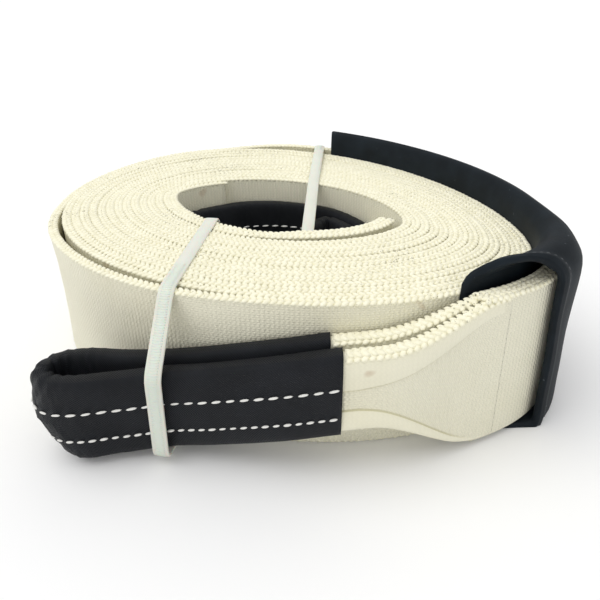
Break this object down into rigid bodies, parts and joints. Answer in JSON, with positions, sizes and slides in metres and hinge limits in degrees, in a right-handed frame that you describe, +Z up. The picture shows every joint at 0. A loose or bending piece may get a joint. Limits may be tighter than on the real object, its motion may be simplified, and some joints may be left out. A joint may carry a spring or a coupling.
{
  "type": "tow strap",
  "caption": "Flat recovery strap of woven webbing, rolled up with a sleeved eye at each end and a wear sleeve, and held by cable ties.",
  "frame": {"origin": "under the middle of the whole rolled-up strap, on the surface that it lies on", "axes": "+Z up, along the width of the webbing; +X along the longer side of the roll, towards the wear sleeve; the outer eye lies along the -Y side"},
  "size_m": [0.277, 0.249, 0.092],
  "materials": {
    "webbing": "matt cross-ribbed weave",
    "wear_sleeve": "smooth, matt",
    "eye_sleeve": "coarse twill, satin",
    "cable_tie": "natural nylon, smooth"
  },
  "bodies": {
    "root": {"webbing": "webbing", "wear_sleeve": "wear_sleeve", "outer_eye_sleeve": "eye_sleeve", "inner_eye_sleeve": "eye_sleeve", "front_cable_tie": "cable_tie", "back_cable_tie": "cable_tie"}
  },
  "joints": []
}
